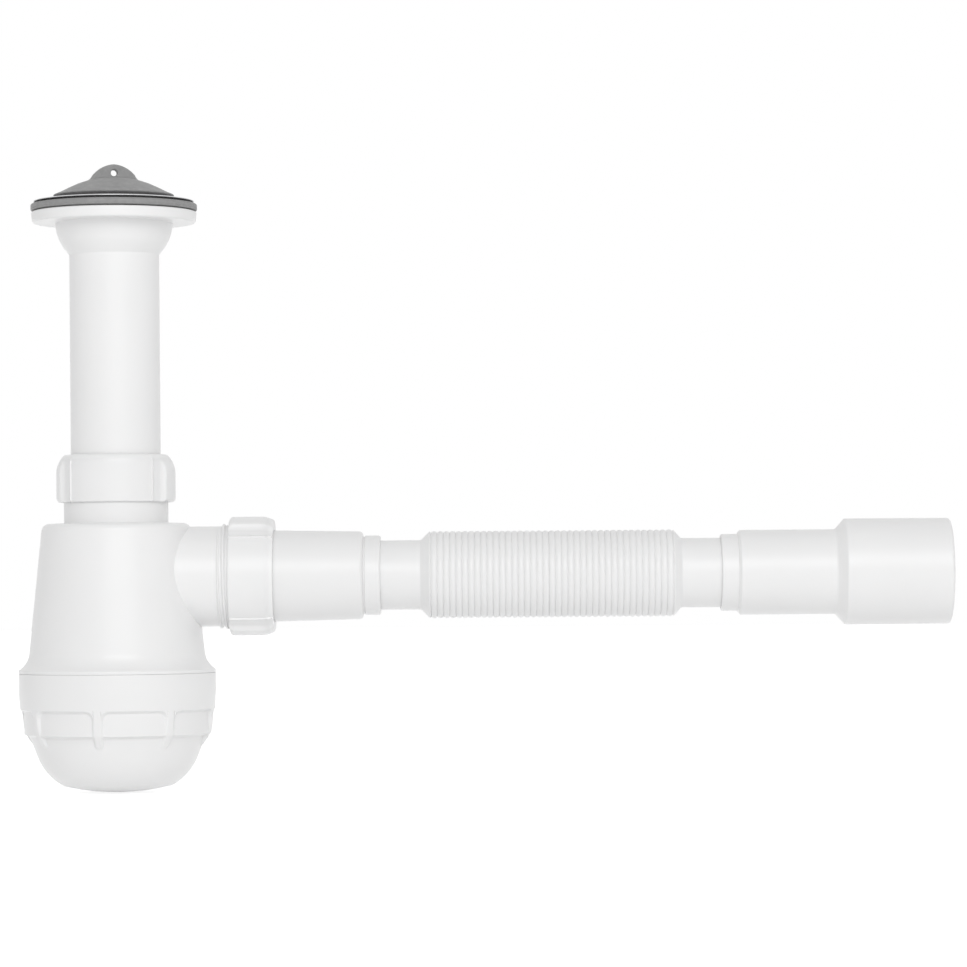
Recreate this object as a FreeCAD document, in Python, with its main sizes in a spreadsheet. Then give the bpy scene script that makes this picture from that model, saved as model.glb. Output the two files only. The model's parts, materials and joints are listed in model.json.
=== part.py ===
"""Kitchen sink bottle trap with a strainer waste above it and a corrugated outlet hose.

All lengths are millimetres. The part's frame has its origin at the middle of the flange
gasket's top face, where the sink bottom sits. +Z points up, and +X points along the outlet.
Every driving dimension is a cell of the sheet, and each sketch takes its sizes from there.
"""
import FreeCAD, Part
import math
import os

import Sketcher

LEFT = 1
RIGHT = -1

DRIVING_SIZES = {
    # Waste: gasket, strainer, screw, insert and plug
    "gasket_radius": 39.1,
    "gasket_height": 3.2,
    "gasket_bore": 31.0,
    "gasket_bevel": 0.4,
    "strainer_radius": 37.8,
    "strainer_rim": 1.2,
    "strainer_sheet": 1.0,
    "strainer_mouth": 28.3,
    "strainer_floor": 23.0,
    "strainer_depth": 4.2,
    "strainer_wall_offset": 0.4,
    "drain_hole_radius": 3.6,
    "drain_hole_ring": 14.5,
    "drain_hole_count": 8,
    "screw_radius": 3.0,
    "screw_head_radius": 5.6,
    "screw_head_height": 2.6,
    "screw_length": 28.0,
    "screw_slot": 1.2,
    "screw_point": 0.8,
    "screw_head_edge": 1.0,
    "screw_head_dome": 1.6,
    "screw_hole_gap": 0.3,
    "screw_thread_gap": 0.05,
    "insert_radius": 4.4,
    "insert_groove": 0.6,
    "insert_groove_length": 1.4,
    "insert_groove_slope": 0.7,
    "plug_lip_radius": 28.5,
    "plug_lip_level": 4.0,
    "plug_lip_height": 1.1,
    "plug_top_radius": 9.0,
    "plug_top_level": 13.0,
    "plug_neck_radius": 27.0,
    "plug_seat_height": 2.8,
    "plug_wall": 3.0,
    "plug_clearance": 0.15,
    "plug_hollow_rise": 1.0,
    "ear_radius": 12.3,
    "ear_centre_level": 7.0,
    "ear_thickness": 4.0,
    "ear_hole_radius": 1.55,
    "ear_hole_level": 15.1,
    # Tail pipe
    "flange_radius": 38.9,
    "flange_height": 5.2,
    "flange_round": 1.4,
    "flange_mouth": 29.4,
    "bell_radius": 27.6,
    "bell_neck_height": 1.0,
    "bell_curve": 24.0,
    "bell_height": 9.8,
    "bell_foot": 3.2,
    "bell_foot_height": 4.2,
    "pipe_radius": 21.1,
    "pipe_wall": 1.9,
    "pipe_length": 187.0,
    "pipe_end_chamfer": 0.6,
    "hub_radius": 6.6,
    "hub_top": 19.0,
    "hub_height": 14.0,
    "spider_top": 24.0,
    "spider_height": 8.0,
    "spider_thickness": 2.4,
    # Nuts, washers and cone seals
    "nut_height": 22.6,
    "nut_radius": 26.0,
    "nut_shoulder": 3.8,
    "nut_lip": 0.8,
    "nut_end_wall": 2.4,
    "top_nut_turn": -4.5,
    "side_nut_turn": 2.5,
    "top_nut_rise": 9.7,
    "grip_radius": 28.1,
    "grip_half_angle": 29.5,
    "grip_flank_angle": 14.0,
    "grip_cove": 7.0,
    "grip_round": 9.0,
    "grip_round_curve": 9.5,
    "grip_end_radius": 24.2,
    "grip_sink": 0.4,
    "grip_pad_count": 2,
    "nut_bore_gap": 0.6,
    "thread_radius": 24.5,
    "thread_gap": 0.3,
    "washer_height": 1.2,
    "washer_rim_gap": 0.3,
    "seal_lip": 1.9,
    "seal_height": 5.3,
    "seal_gap": 0.3,
    "seal_tip": 0.3,
    "seal_stand": 0.8,
    "tube_bore_gap": 0.4,
    "mouth_flare": 1.8,
    "mouth_depth": 3.8,
    "mouth_chamfer": 0.6,
    # Bottle body, heights from the outlet's axis
    "outlet_drop": 175.2,
    "outlet_radius": 23.6,
    "outlet_plain": 48.4,
    "thread_runout": 1.0,
    "side_nut_start": 53.3,
    "shoulder_rise": 25.3,
    "shoulder_radius": 35.2,
    "shoulder_round": 3.8,
    "shoulder_wall": 2.6,
    "bottle_wall": 2.3,
    "collar_step": 5.1,
    "collar_rise": 8.2,
    "collar_height": 1.8,
    "parting_drop": 45.3,
    "skirt_wall": 3.0,
    "skirt_height": 12.4,
    "dip_wall": 2.0,
    "dip_drop": 76.0,
    # Cup, heights from its rim
    "cup_gap": 0.3,
    "cup_radius": 46.3,
    "cup_straight": 8.0,
    "cup_taper": 1.1,
    "cup_draft": 0.6,
    "cup_rim_wall": 3.0,
    "cup_thread_gap": 0.4,
    "cup_wall": 2.3,
    "cup_gasket_height": 2.0,
    "cup_gasket_width": 3.0,
    "ledge_setback": 0.8,
    "recess_top": 16.6,
    "recess_bottom": 29.1,
    "recess_depth": 1.3,
    "recess_foot_slope": 1.2,
    "bowl_rim_step": 2.5,
    "bowl_side_step": 3.8,
    "bowl_side_drop": 39.0,
    "bowl_curve": 26.4,
    "bowl_curve_width": 12.0,
    "bowl_crown_rise": 3.0,
    "cup_depth": 55.5,
    "rib_width": 4.2,
    "rib_flare": 3.0,
    "rib_tip_drop": 33.7,
    "rib_nose": 5.0,
    "rib_nose_inset": 1.0,
    "rib_nose_drop": 1.6,
    "rib_tip_inset": 2.1,
    "bowl_ledge_taper": 1.2,
    "bowl_ledge_slope": 3.0,
    "rib_count": 8,
    "cup_turn": -7.2,
    # Inlet cuff, hose and outlet cuff, distances along X
    "cuff_start": 40.0,
    "cuff_radius": 21.4,
    "cuff_far_radius": 20.7,
    "cuff_wall": 1.9,
    "cuff_end": 116.3,
    "cuff_end_round": 2.0,
    "cuff_start_chamfer": 0.8,
    "cuff_straight_past_nut": 2.0,
    "collar_gap": 0.8,
    "cuff_collar_radius": 18.7,
    "cuff_collar_length": 7.3,
    "collar_edge": 0.5,
    "collar_end_chamfer": 0.6,
    "socket_depth": 28.0,
    "socket_gap": 0.3,
    "socket_step": 2.0,
    "hose_radius": 16.35,
    "hose_wall": 1.1,
    "hose_neck": 20.4,
    "hose_end_gap": 0.3,
    "bellows_cone": 3.4,
    "bellows_cone_shift": 0.4,
    "bellows_root": 17.6,
    "bellows_root_wall": 0.7,
    "bellows_crest": 20.7,
    "bellows_crest_inside": 20.0,
    "bellows_shoulder": 1.4,
    "bellows_pitch": 2.91,
    "bellows_count": 39,
    "far_neck": 19.3,
    "far_collar_radius": 18.1,
    "far_collar_length": 8.1,
    "spigot_radius": 19.95,
    "spigot_length": 45.5,
    "spigot_wall": 1.9,
    "spigot_round": 1.2,
    "sleeve_radius": 25.0,
    "sleeve_length": 50.0,
    "sleeve_wall": 1.9,
    "sleeve_step": 4.5,
    "sleeve_step_shift": 1.0,
    "sleeve_round": 1.6,
}


class Size:
    """A number together with the sheet formula that it comes from."""

    def __init__(self, value, formula):
        self.value = float(value)
        self.formula = formula

    def __add__(self, other):
        other = as_size(other)
        return Size(self.value + other.value, f"({self.formula} + {other.formula})")

    def __sub__(self, other):
        other = as_size(other)
        return Size(self.value - other.value, f"({self.formula} - {other.formula})")

    def __mul__(self, other):
        other = as_size(other)
        return Size(self.value * other.value, f"({self.formula} * {other.formula})")

    def __truediv__(self, other):
        other = as_size(other)
        return Size(self.value / other.value, f"({self.formula} / {other.formula})")

    def __neg__(self):
        return Size(-self.value, f"(0 - {self.formula})")

    def cosine(self):
        return Size(math.cos(math.radians(self.value)), f"cos({self.formula} * 1 deg)")

    def sine(self):
        return Size(math.sin(math.radians(self.value)), f"sin({self.formula} * 1 deg)")


def as_size(number):
    if isinstance(number, Size):
        return number
    return Size(number, repr(float(number)))


ZERO = as_size(0.0)
# How far a cut runs past the material, or a joined form into it
OVERRUN = as_size(1.0)

doc = FreeCAD.newDocument("sink_trap")
sheet = doc.addObject("Spreadsheet::Sheet", "sizes")


def fill_sheet():
    """Write the driving dimensions and return them by name."""
    named = {}
    for row, (alias, value) in enumerate(DRIVING_SIZES.items(), start=1):
        sheet.set(f"A{row}", alias)
        sheet.set(f"B{row}", str(value))
        sheet.setAlias(f"B{row}", alias)
        named[alias] = Size(value, f"sizes.{alias}")
    doc.recompute()
    return named


s = fill_sheet()


def new_body(label):
    body = doc.addObject("PartDesign::Body", label)
    body.Label = label
    return body


def origin_feature(body, role):
    for feature in body.Origin.OriginFeatures:
        if feature.Role == role:
            return feature
    raise ValueError(f"no {role} in {body.Label}")


def arc_middle(start, end, radius, side):
    """The middle of the shorter arc from start to end, bulging to its left or right."""
    chord = end - start
    half = chord.Length / 2
    rise = radius - math.sqrt(max(radius * radius - half * half, 0.0))
    across = FreeCAD.Vector(-chord.y, chord.x, 0)
    across.normalize()
    return start + chord / 2 + across * (side * rise)


def draw_outline(sketch, corners):
    """Draw a closed outline and tie each corner and each arc's radius to the sheet.

    A corner is (x, y), or (x, y, radius, side) where an arc leads on to the next one.
    """
    spots = [FreeCAD.Vector(corner[0].value, corner[1].value, 0) for corner in corners]
    rules = []
    formulas = []
    first = sketch.GeometryCount
    joints = []
    for index, corner in enumerate(corners):
        start = spots[index]
        end = spots[(index + 1) % len(corners)]
        edge = first + index
        if len(corner) == 2:
            sketch.addGeometry(Part.LineSegment(start, end))
            joints.append((edge, 1, 2))
        else:
            middle = arc_middle(start, end, corner[2].value, corner[3])
            sketch.addGeometry(Part.Arc(start, middle, end))
            forward = sketch.getPoint(edge, 1).distanceToPoint(start) < sketch.getPoint(
                edge, 2).distanceToPoint(start)
            joints.append((edge, 1, 2) if forward else (edge, 2, 1))
            rules.append(Sketcher.Constraint("Radius", edge, corner[2].value))
            formulas.append(corner[2].formula)
    for index, (edge, begin, finish) in enumerate(joints):
        follower, follower_begin, _ = joints[(index + 1) % len(joints)]
        rules.append(Sketcher.Constraint("Coincident", edge, finish, follower, follower_begin))
        formulas.append(None)
        for kind, size in (("DistanceX", corners[index][0]), ("DistanceY", corners[index][1])):
            rules.append(Sketcher.Constraint(kind, -1, 1, edge, begin, size.value))
            formulas.append(size.formula)
    numbers = sketch.addConstraint(rules)
    for number, formula in zip(numbers, formulas):
        if formula:
            sketch.setExpression(f"Constraints[{number}]", formula)


def draw_circle(sketch, x, y, radius):
    """Draw a circle whose centre and radius follow the sheet."""
    centre = FreeCAD.Vector(x.value, y.value, 0)
    edge = sketch.addGeometry(Part.Circle(centre, FreeCAD.Vector(0, 0, 1), radius.value))
    rules = [
        (Sketcher.Constraint("Radius", edge, radius.value), radius),
        (Sketcher.Constraint("DistanceX", -1, 1, edge, 3, x.value), x),
        (Sketcher.Constraint("DistanceY", -1, 1, edge, 3, y.value), y),
    ]
    for rule, size in rules:
        number = sketch.addConstraint(rule)
        sketch.setExpression(f"Constraints[{number}]", size.formula)


def new_sketch(body, name, role, offset=None):
    """A sketch on one of the body's origin planes, moved along the plane's normal by offset."""
    sketch = body.newObject("Sketcher::SketchObject", name)
    sketch.AttachmentSupport = [(origin_feature(body, role), "")]
    sketch.MapMode = "FlatFace"
    if offset is not None:
        sketch.setExpression("AttachmentOffset.Base.z", offset.formula)
    return sketch


def turned(body, name, corners, axis="V_Axis", cut=False):
    """Revolve an outline about Z (V_Axis) or X (H_Axis), adding to the body or cutting it."""
    sketch = new_sketch(body, f"{name}_outline", "XZ_Plane")
    draw_outline(sketch, corners)
    kind = "PartDesign::Groove" if cut else "PartDesign::Revolution"
    feature = body.newObject(kind, name)
    feature.Profile = sketch
    feature.ReferenceAxis = (sketch, [axis])
    feature.Angle = 360.0
    sketch.Visibility = False
    return feature


def prism(body, name, sketch, length, cut=False, both_ways=False, reversed_way=False):
    """Extrude a sketch by a length from the sheet."""
    kind = "PartDesign::Pocket" if cut else "PartDesign::Pad"
    feature = body.newObject(kind, name)
    feature.Profile = sketch
    feature.setExpression("Length", length.formula)
    if both_ways:
        feature.Midplane = True
    feature.Reversed = reversed_way
    sketch.Visibility = False
    return feature


def around(body, name, feature, count, angle=360.0):
    """Repeat a feature about the body's Z axis."""
    pattern = body.newObject("PartDesign::PolarPattern", name)
    pattern.Originals = [feature]
    pattern.Axis = (origin_feature(body, "Z_Axis"), [""])
    pattern.Angle = angle
    if isinstance(count, Size):
        pattern.setExpression("Occurrences", count.formula)
    else:
        pattern.Occurrences = count
    body.Tip = pattern
    return pattern


def polar(radius, angle):
    return (radius * angle.cosine(), radius * angle.sine())


def stand_at(body, height):
    """Lift a body to its height in the part's frame."""
    body.setExpression("Placement.Base.z", height.formula)


def lie_along_outlet(body, distance):
    """Turn a body's Z axis along the outlet and move it to a distance along it."""
    body.Placement = FreeCAD.Placement(
        FreeCAD.Vector(0, 0, 0), FreeCAD.Rotation(FreeCAD.Vector(0, 1, 0), 90))
    body.setExpression("Placement.Base.x", distance.formula)
    body.setExpression("Placement.Base.z", (-s["outlet_drop"]).formula)


def make_flange_gasket():
    """Flat rubber ring between the sink and the tail pipe's flange, with bevelled edges."""
    body = new_body("flange_gasket")
    outer = s["gasket_radius"]
    edge = s["gasket_bevel"]
    low = -s["gasket_height"]
    turned(body, "ring", [
        (s["gasket_bore"], low),
        (outer - edge, low),
        (outer, low + edge),
        (outer, -edge),
        (outer - edge, ZERO),
        (s["gasket_bore"], ZERO),
    ])
    return body


def make_strainer():
    """Pressed steel dish: flat rim on the sink, sloped wall, floor with drain holes."""
    body = new_body("strainer")
    rim = s["strainer_rim"]
    offset = s["strainer_wall_offset"]
    sheet_thickness = s["strainer_sheet"]
    floor_top = -s["strainer_depth"]
    hole = s["screw_radius"] + s["screw_hole_gap"]
    turned(body, "dish", [
        (s["strainer_radius"], ZERO),
        (s["strainer_radius"], rim),
        (s["strainer_mouth"], rim),
        (s["strainer_floor"], floor_top),
        (hole, floor_top),
        (hole, floor_top - sheet_thickness),
        (s["strainer_floor"] + offset, floor_top - sheet_thickness),
        (s["strainer_mouth"] + offset, ZERO),
    ])
    sketch = new_sketch(body, "drain_hole_outline", "XY_Plane")
    draw_circle(sketch, s["drain_hole_ring"], ZERO, s["drain_hole_radius"])
    through = s["strainer_depth"] + sheet_thickness * 2
    hole_cut = prism(body, "drain_hole", sketch, through, cut=True)
    around(body, "drain_holes", hole_cut, s["drain_hole_count"])
    return body


def make_strainer_screw():
    """Slotted pan head screw that clamps the strainer to the tail pipe."""
    body = new_body("strainer_screw")
    seat = -s["strainer_depth"]
    top = seat + s["screw_head_height"]
    tip = seat - s["screw_length"]
    radius = s["screw_radius"]
    head = s["screw_head_radius"]
    point = s["screw_point"]
    turned(body, "shank", [
        (ZERO, tip),
        (radius - point, tip),
        (radius, tip + point),
        (radius, seat),
        (head, seat),
        (head, seat + s["screw_head_edge"]),
        (head - s["screw_head_dome"], top),
        (ZERO, top),
    ])
    sketch = new_sketch(body, "slot_outline", "XZ_Plane")
    half = s["screw_slot"] / 2
    slot_floor = top - s["screw_head_height"] / 2
    draw_outline(sketch, [(-half, slot_floor), (half, slot_floor), (half, top + OVERRUN), (-half, top + OVERRUN)])
    prism(body, "slot", sketch, head * 3, cut=True, both_ways=True)
    return body


def make_insert_nut():
    """Brass insert moulded into the tail pipe's hub, with a groove that holds it."""
    body = new_body("insert_nut")
    top = -s["hub_top"]
    low = top - s["hub_height"]
    outer = s["insert_radius"]
    groove = outer - s["insert_groove"]
    bore = s["screw_radius"] + s["screw_thread_gap"]
    middle = low + s["hub_height"] / 2
    half = s["insert_groove_length"] / 2
    slope = s["insert_groove_slope"]
    turned(body, "sleeve", [
        (bore, low),
        (outer, low),
        (outer, middle - half - slope),
        (groove, middle - half),
        (groove, middle + half),
        (outer, middle + half + slope),
        (outer, top),
        (bore, top),
    ])
    return body


def make_rubber_plug():
    """Moulded stopper: cone top with a pull ear, thin lip, tapered seat, hollow below."""
    body = new_body("rubber_plug")
    seat_slope = (s["strainer_mouth"] - s["strainer_floor"]) / (s["strainer_depth"] + s["strainer_rim"])
    clearance = s["plug_clearance"]
    low = -s["plug_seat_height"]
    seat_low = s["strainer_mouth"] - seat_slope * (s["strainer_rim"] - low) - clearance
    neck = s["plug_neck_radius"]
    seat_top = s["strainer_rim"] - (s["strainer_mouth"] - neck - clearance) / seat_slope
    lip = s["plug_lip_level"]
    lip_top = lip + s["plug_lip_height"]
    wall = s["plug_wall"]
    turned(body, "stopper", [
        (ZERO, s["plug_top_level"]),
        (ZERO, lip + s["plug_hollow_rise"]),
        (neck - wall * 2, lip),
        (seat_low - wall, low),
        (seat_low, low),
        (neck, seat_top),
        (neck, lip),
        (s["plug_lip_radius"], lip),
        (s["plug_lip_radius"], lip_top),
        (s["plug_top_radius"], s["plug_top_level"]),
    ])
    sketch = new_sketch(body, "ear_outline", "XZ_Plane")
    ear = s["ear_radius"]
    base = s["ear_centre_level"]
    draw_outline(sketch, [
        (-ear, base, ear, LEFT),
        (ZERO, base + ear, ear, LEFT),
        (ear, base),
    ])
    prism(body, "ear", sketch, s["ear_thickness"], both_ways=True)
    sketch = new_sketch(body, "ear_hole_outline", "XZ_Plane")
    draw_circle(sketch, ZERO, s["ear_hole_level"], s["ear_hole_radius"])
    prism(body, "ear_hole", sketch, s["ear_thickness"] * 2, cut=True, both_ways=True)
    return body


def make_tail_pipe():
    """Flange, bell and pipe in one moulding, with a spider and hub for the screw."""
    body = new_body("tail_pipe")
    top = -s["gasket_height"]
    under = top - s["flange_height"]
    edge = s["flange_round"]
    outer = s["flange_radius"]
    pipe = s["pipe_radius"]
    wall = s["pipe_wall"]
    bell_top = under - s["bell_neck_height"]
    bell_low = bell_top - s["bell_height"]
    foot = s["bell_foot"]
    straight = bell_low - s["bell_foot_height"]
    end = top - s["pipe_length"]
    chamfer = s["pipe_end_chamfer"]
    turned(body, "tube", [
        (s["flange_mouth"], top),
        (s["bell_radius"] - wall, bell_top, s["bell_curve"] - wall, RIGHT),
        (pipe + foot - wall, bell_low),
        (pipe - wall, straight),
        (pipe - wall, end),
        (pipe - chamfer, end),
        (pipe, end + chamfer),
        (pipe, straight),
        (pipe + foot, bell_low, s["bell_curve"], RIGHT),
        (s["bell_radius"], bell_top),
        (s["bell_radius"], under),
        (outer - edge, under, edge, RIGHT),
        (outer, under + edge),
        (outer, top),
    ])
    reach = pipe - wall / 2
    half = s["spider_thickness"] / 2
    sketch = new_sketch(body, "spider_outline", "XY_Plane", -s["spider_top"])
    draw_outline(sketch, [(-reach, -half), (reach, -half), (reach, half), (-reach, half)])
    bar = prism(body, "spider_bar", sketch, s["spider_height"], reversed_way=True)
    around(body, "spider", bar, 2, angle=90.0)
    hub_top = -s["hub_top"]
    hub_low = hub_top - s["hub_height"]
    hub = s["hub_radius"]
    turned(body, "hub", [(ZERO, hub_low), (hub, hub_low), (hub, hub_top), (ZERO, hub_top)])
    bore = s["insert_radius"]
    turned(body, "hub_bore", [
        (ZERO, hub_low - OVERRUN),
        (bore, hub_low - OVERRUN),
        (bore, hub_top + OVERRUN),
        (ZERO, hub_top + OVERRUN),
    ], cut=True)
    return body


def make_nut(label, pipe, turn):
    """Union nut, open end at its origin: drum, two coved grip pads, thread bore, end wall."""
    body = new_body(label)
    height = s["nut_height"]
    drum = s["nut_radius"]
    shoulder = s["nut_shoulder"]
    lip = s["nut_lip"]
    grip = s["grip_radius"]
    turned(body, "drum", [
        (ZERO, lip),
        (drum, lip),
        (drum, height - shoulder, shoulder, RIGHT),
        (drum - shoulder, height),
        (ZERO, height),
    ])
    face = s["grip_half_angle"]
    foot = face + s["grip_flank_angle"]
    foot_radius = drum - s["grip_sink"]
    upper_face = polar(grip, turn + face)
    lower_face = polar(grip, turn - face)
    upper_foot = polar(foot_radius, turn + foot)
    lower_foot = polar(foot_radius, turn - foot)
    sketch = new_sketch(body, "grip_outline", "XY_Plane")
    draw_outline(sketch, [
        (lower_foot[0], lower_foot[1], s["grip_cove"], LEFT),
        (lower_face[0], lower_face[1], grip, RIGHT),
        (upper_face[0], upper_face[1], s["grip_cove"], LEFT),
        (upper_foot[0], upper_foot[1]),
    ])
    pad = prism(body, "grip_pad", sketch, height)
    around(body, "grip_pads", pad, s["grip_pad_count"])
    outside = grip + OVERRUN * 3
    turned(body, "grip_shaping", [
        (grip, height - s["grip_round"], s["grip_round_curve"], RIGHT),
        (s["grip_end_radius"], height),
        (s["grip_end_radius"], height + OVERRUN),
        (outside, height + OVERRUN),
        (outside, height - s["grip_round"]),
    ], cut=True)
    thread = s["thread_radius"] + s["thread_gap"]
    bore = pipe + s["nut_bore_gap"]
    ceiling = height - s["nut_end_wall"]
    turned(body, "thread_bore", [
        (ZERO, -OVERRUN),
        (thread, -OVERRUN),
        (thread, ceiling),
        (bore, ceiling),
        (bore, height + OVERRUN),
        (ZERO, height + OVERRUN),
    ], cut=True)
    return body


def make_slip_washer(label, pipe):
    """Thin hard ring under the nut's end wall, so that the nut turns without dragging the seal."""
    body = new_body(label)
    high = s["nut_height"] - s["nut_end_wall"]
    low = high - s["washer_height"]
    inner = pipe + s["seal_gap"]
    outer = s["thread_radius"] - s["washer_rim_gap"]
    turned(body, "ring", [(inner, low), (outer, low), (outer, high), (inner, high)])
    return body


def make_cone_seal(label, pipe):
    """Rubber cone ring, pressed by the washer into the tube's chamfered mouth."""
    body = new_body(label)
    high = s["nut_height"] - s["nut_end_wall"] - s["washer_height"]
    inner = pipe + s["seal_gap"]
    outer = pipe + s["tube_bore_gap"] + s["mouth_flare"]
    low = high - s["seal_height"]
    turned(body, "ring", [
        (inner, low),
        (inner + s["seal_tip"], low),
        (outer, high - s["seal_lip"]),
        (outer, high),
        (inner, high),
    ])
    return body


def mouth_level():
    """Height of a tube's mouth above its nut's open end."""
    seal_high = s["nut_height"] - s["nut_end_wall"] - s["washer_height"]
    return seal_high - s["seal_lip"] - s["seal_stand"]


def top_nut_level():
    """Height of the top nut's open end above the outlet's axis."""
    return s["shoulder_rise"] + s["top_nut_rise"]


def bottle_foot():
    """Radius of the bottle's wall where it meets the collar, which lines up with the cup."""
    return s["cup_radius"] - s["collar_step"]


def collar_flare():
    """Radius of the hollow curve that runs smoothly from the conical wall out to the collar."""
    step = s["collar_step"]
    rise = s["collar_rise"]
    foot_drop = s["parting_drop"] - s["collar_height"] - rise
    wall_height = foot_drop + s["shoulder_rise"] - s["shoulder_round"]
    slope = (bottle_foot() - s["shoulder_radius"]) / wall_height
    return (step * step + rise * rise) / ((step - slope * rise) * 2)


def skirt_radius():
    """Radius of the bottle's threaded skirt inside the cup's rim."""
    return s["cup_radius"] - s["cup_rim_wall"] - s["cup_thread_gap"]


def bottle_ceiling():
    """Height of the ceiling inside the bottle's shoulder, above the outlet's axis."""
    return s["shoulder_rise"] - s["shoulder_wall"]


def make_bottle_body():
    """Bottle moulding: threaded neck, shoulder, conical wall, outlet tube, threaded skirt."""
    body = new_body("bottle_body")
    pipe = s["pipe_radius"]
    thread = s["thread_radius"]
    neck_bore = pipe + s["tube_bore_gap"]
    neck_top = top_nut_level() + mouth_level()
    chamfer = s["mouth_chamfer"]
    shoulder = s["shoulder_rise"]
    edge = s["shoulder_round"]
    parting = -s["parting_drop"]
    collar = parting + s["collar_height"]
    foot = collar + s["collar_rise"]
    skirt = skirt_radius()
    skirt_low = parting - s["skirt_height"]
    turned(body, "outside", [
        (ZERO, skirt_low),
        (skirt - chamfer, skirt_low),
        (skirt, skirt_low + chamfer),
        (skirt, parting),
        (s["cup_radius"], parting),
        (s["cup_radius"], collar, collar_flare(), LEFT),
        (bottle_foot(), foot),
        (s["shoulder_radius"], shoulder - edge, edge, RIGHT),
        (s["shoulder_radius"] - edge, shoulder),
        (thread, shoulder),
        (thread, neck_top - chamfer),
        (thread - chamfer, neck_top),
        (ZERO, neck_top),
    ])
    mouth = s["side_nut_start"] + mouth_level()
    plain = s["outlet_plain"]
    turned(body, "outlet", [
        (ZERO, ZERO),
        (ZERO, s["outlet_radius"]),
        (plain, s["outlet_radius"]),
        (plain + s["thread_runout"], thread),
        (mouth - chamfer, thread),
        (mouth, thread - chamfer),
        (mouth, ZERO),
    ], axis="H_Axis")
    wall = s["bottle_wall"]
    skirt_bore = skirt - s["skirt_wall"]
    ceiling = bottle_ceiling()
    turned(body, "chamber", [
        (ZERO, skirt_low - OVERRUN),
        (skirt_bore, skirt_low - OVERRUN),
        (skirt_bore, collar),
        (bottle_foot() - wall, foot),
        (s["shoulder_radius"] - wall, ceiling - edge, edge, RIGHT),
        (s["shoulder_radius"] - wall - edge, ceiling),
        (ZERO, ceiling),
    ], cut=True)
    turned(body, "neck_bore", [
        (ZERO, ceiling - OVERRUN),
        (neck_bore, ceiling - OVERRUN),
        (neck_bore, neck_top - s["mouth_depth"]),
        (neck_bore + s["mouth_flare"], neck_top),
        (neck_bore + s["mouth_flare"], neck_top + OVERRUN),
        (ZERO, neck_top + OVERRUN),
    ], cut=True)
    side_bore = s["cuff_radius"] + s["tube_bore_gap"]
    turned(body, "outlet_bore", [
        (ZERO, ZERO),
        (ZERO, side_bore),
        (mouth - s["mouth_depth"], side_bore),
        (mouth, side_bore + s["mouth_flare"]),
        (mouth + OVERRUN, side_bore + s["mouth_flare"]),
        (mouth + OVERRUN, ZERO),
    ], axis="H_Axis", cut=True)
    return body


def make_dip_tube():
    """Tube that hangs from the bottle's ceiling into the cup and makes the water seal."""
    body = new_body("dip_tube")
    bore = s["pipe_radius"] + s["tube_bore_gap"]
    outer = bore + s["dip_wall"]
    low = -s["dip_drop"]
    ceiling = bottle_ceiling()
    turned(body, "tube", [(bore, low), (outer, low), (outer, ceiling), (bore, ceiling)])
    return body


def cup_ledge():
    """Depth of the cup's gasket ledge below its rim."""
    return s["skirt_height"] - s["cup_gap"] + s["cup_gasket_height"]


def make_cup_gasket():
    """Flat rubber ring between the bottle's skirt and the cup's ledge."""
    body = new_body("cup_gasket")
    low = -cup_ledge()
    high = low + s["cup_gasket_height"]
    outer = skirt_radius()
    turned(body, "ring", [
        (outer - s["cup_gasket_width"], low),
        (outer, low),
        (outer, high),
        (outer - s["cup_gasket_width"], high),
    ])
    return body


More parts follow.
